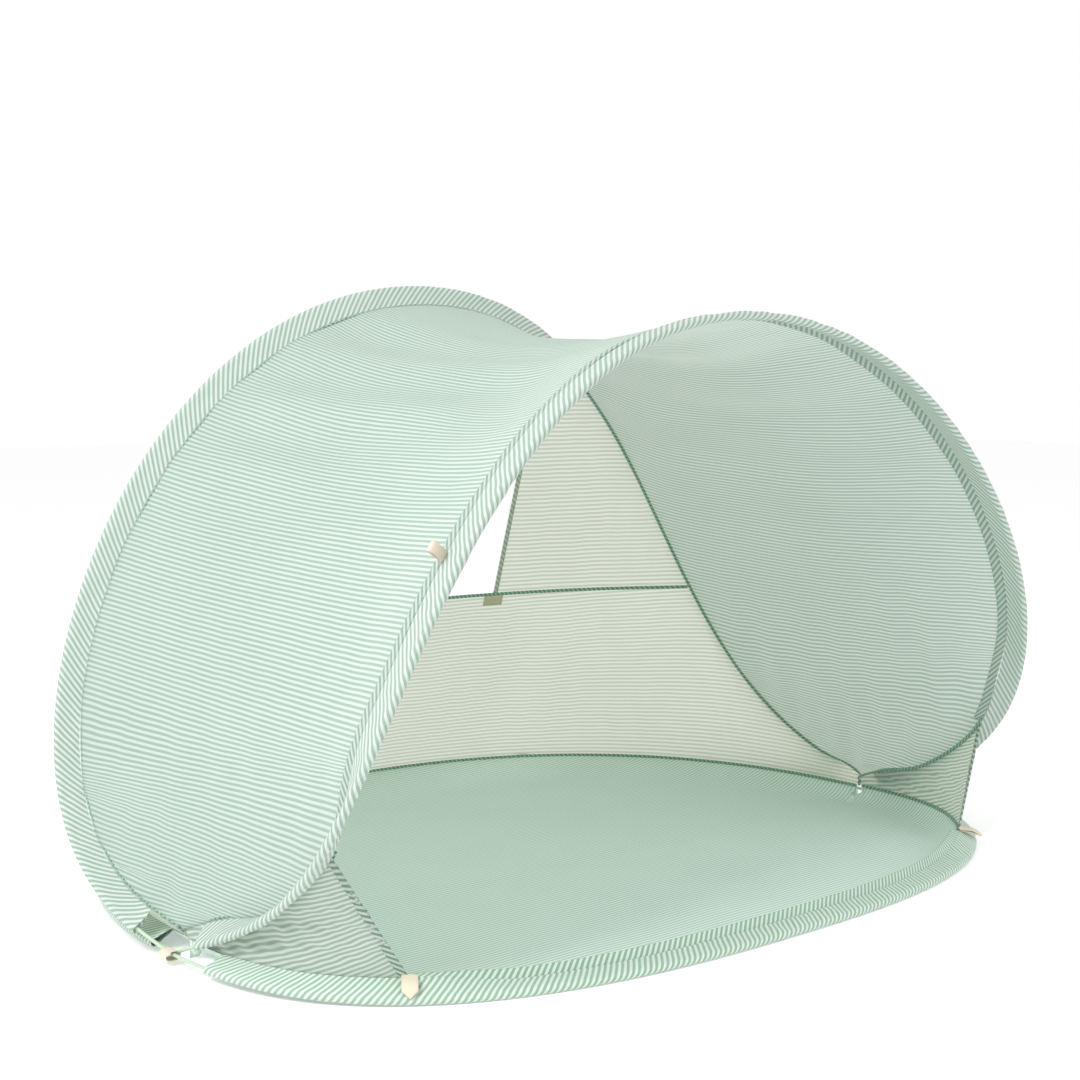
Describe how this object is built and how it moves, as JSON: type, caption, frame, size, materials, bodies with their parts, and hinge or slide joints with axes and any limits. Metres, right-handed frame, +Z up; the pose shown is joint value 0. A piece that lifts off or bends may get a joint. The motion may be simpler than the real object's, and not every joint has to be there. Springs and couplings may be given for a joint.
{
  "type": "pop up tent",
  "caption": "Small pop up beach tent: crossing sprung hoops carry a striped saddle canopy, a back wall with a window, foot gussets and a rounded ground sheet.",
  "frame": {"origin": "on the ground, midway between the two pivots where the hoops cross", "axes": "+Z up; -Y towards the open front; +X to the right as seen from the front, along the line through the pivots"},
  "size_m": [1.3586, 1.057, 0.837],
  "materials": {
    "rod": "pale green coated spring wire",
    "ferrule": "plain crimped tube",
    "sleeve": "pale green and white stripe cut on the bias",
    "floor_sleeve": "pale green and white stripe cut on the bias",
    "facing": "pale green and white stripe cut on the opposite bias",
    "rim_facing": "pale green and white stripe cut on the opposite bias",
    "canopy": "pale green and white woven stripe",
    "back_wall": "pale green and white woven stripe",
    "seam": "dark green seam tape",
    "hem": "striped hem",
    "gusset": "pale green and white woven stripe",
    "floor_cloth": "pale green and white woven stripe",
    "ribbon": "cream cotton tape",
    "hang_ribbon": "cream cotton tape"
  },
  "bodies": {
    "floor_rear": {"floor_back_rod": "rod", "back_hoop_ferrule": "ferrule", "floor_back_sleeve": "floor_sleeve", "floor_back_seam": "seam", "corner_seam_left": "seam", "corner_seam_right": "seam", "ground_sheet_back": "floor_cloth", "back_wall_lower": "back_wall", "back_wall_seam": "seam", "pivot_tie_left": "ribbon", "pivot_tie_right": "ribbon"},
    "back_arch": {"back_arch_rod": "rod", "back_arch_sleeve": "sleeve", "back_arch_seam": "seam", "canopy": "canopy", "back_wall_left": "back_wall", "back_wall_right": "back_wall", "back_wall_top": "back_wall", "window_hem": "hem"},
    "front_arch": {"front_arch_rod": "rod", "front_arch_sleeve": "sleeve", "front_arch_facing": "facing", "front_arch_seam_left": "seam", "front_arch_seam_right": "seam", "gusset_left": "gusset", "gusset_right": "gusset", "gusset_hem_left": "hem", "gusset_hem_right": "hem"},
    "floor_front": {"floor_front_rod": "rod", "front_hoop_ferrule": "ferrule", "floor_front_sleeve": "floor_sleeve", "floor_front_facing": "rim_facing", "floor_front_seam_left": "seam", "floor_front_seam_right": "seam", "ground_sheet_front": "floor_cloth"},
    "loop_front_left": {"peg_loop_front_left": "ribbon"},
    "loop_front_right": {"peg_loop_front_right": "ribbon"},
    "loop_back_left": {"peg_loop_back_left": "ribbon"},
    "loop_back_right": {"peg_loop_back_right": "ribbon"},
    "closing_loop": {"hang_loop": "hang_ribbon"}
  },
  "joints": [
    {"name": "back_arch_lean", "type": "hinge", "parent": "floor_rear", "child": "back_arch", "pos_m": [0, 0, 0.013], "axis": [-1, 0, 0], "range_deg": [0, 12], "stiffness_Nm_per_rad": 12, "springref_deg": -34.38, "deforming": ["corner_seam_left", "corner_seam_right", "back_wall_lower", "back_wall_seam", "back_wall_left", "back_wall_right", "window_hem", "pivot_tie_left", "pivot_tie_right"]},
    {"name": "front_arch_fold", "type": "hinge", "parent": "back_arch", "child": "front_arch", "pos_m": [0, 0, 0.013], "axis": [-1, 0, 0], "range_deg": [0, 42], "stiffness_Nm_per_rad": 6, "springref_deg": -34.38, "deforming": ["canopy"]},
    {"name": "floor_front_fold", "type": "hinge", "parent": "front_arch", "child": "floor_front", "pos_m": [0, 0, 0.013], "axis": [-1, 0, 0], "range_deg": [0, 10], "stiffness_Nm_per_rad": 3, "springref_deg": -34.38, "deforming": ["gusset_left", "gusset_right", "gusset_hem_left", "gusset_hem_right"]},
    {"name": "peg_loop_front_left_flop", "type": "hinge", "parent": "floor_front", "child": "loop_front_left", "pos_m": [-0.52487, -0.30836, 0.004], "axis": [-0.8107, 0.5854, 0], "range_deg": [0, 60]},
    {"name": "peg_loop_front_right_flop", "type": "hinge", "parent": "floor_front", "child": "loop_front_right", "pos_m": [0.52487, -0.30836, 0.004], "axis": [-0.8107, -0.5854, 0], "range_deg": [0, 60]},
    {"name": "peg_loop_back_left_flop", "type": "hinge", "parent": "floor_rear", "child": "loop_back_left", "pos_m": [-0.36153, 0.56142, 0.004], "axis": [0.875, 0.484, 0], "range_deg": [0, 60]},
    {"name": "peg_loop_back_right_flop", "type": "hinge", "parent": "floor_rear", "child": "loop_back_right", "pos_m": [0.36153, 0.56142, 0.004], "axis": [0.875, -0.484, 0], "range_deg": [0, 60]},
    {"name": "hang_loop_flop", "type": "hinge", "parent": "front_arch", "child": "closing_loop", "pos_m": [-0.49214, -0.33091, 0.50569], "axis": [0.5714, -0.0084, 0.8206], "range_deg": [-30, 30], "stiffness_Nm_per_rad": 0.02}
  ]
}
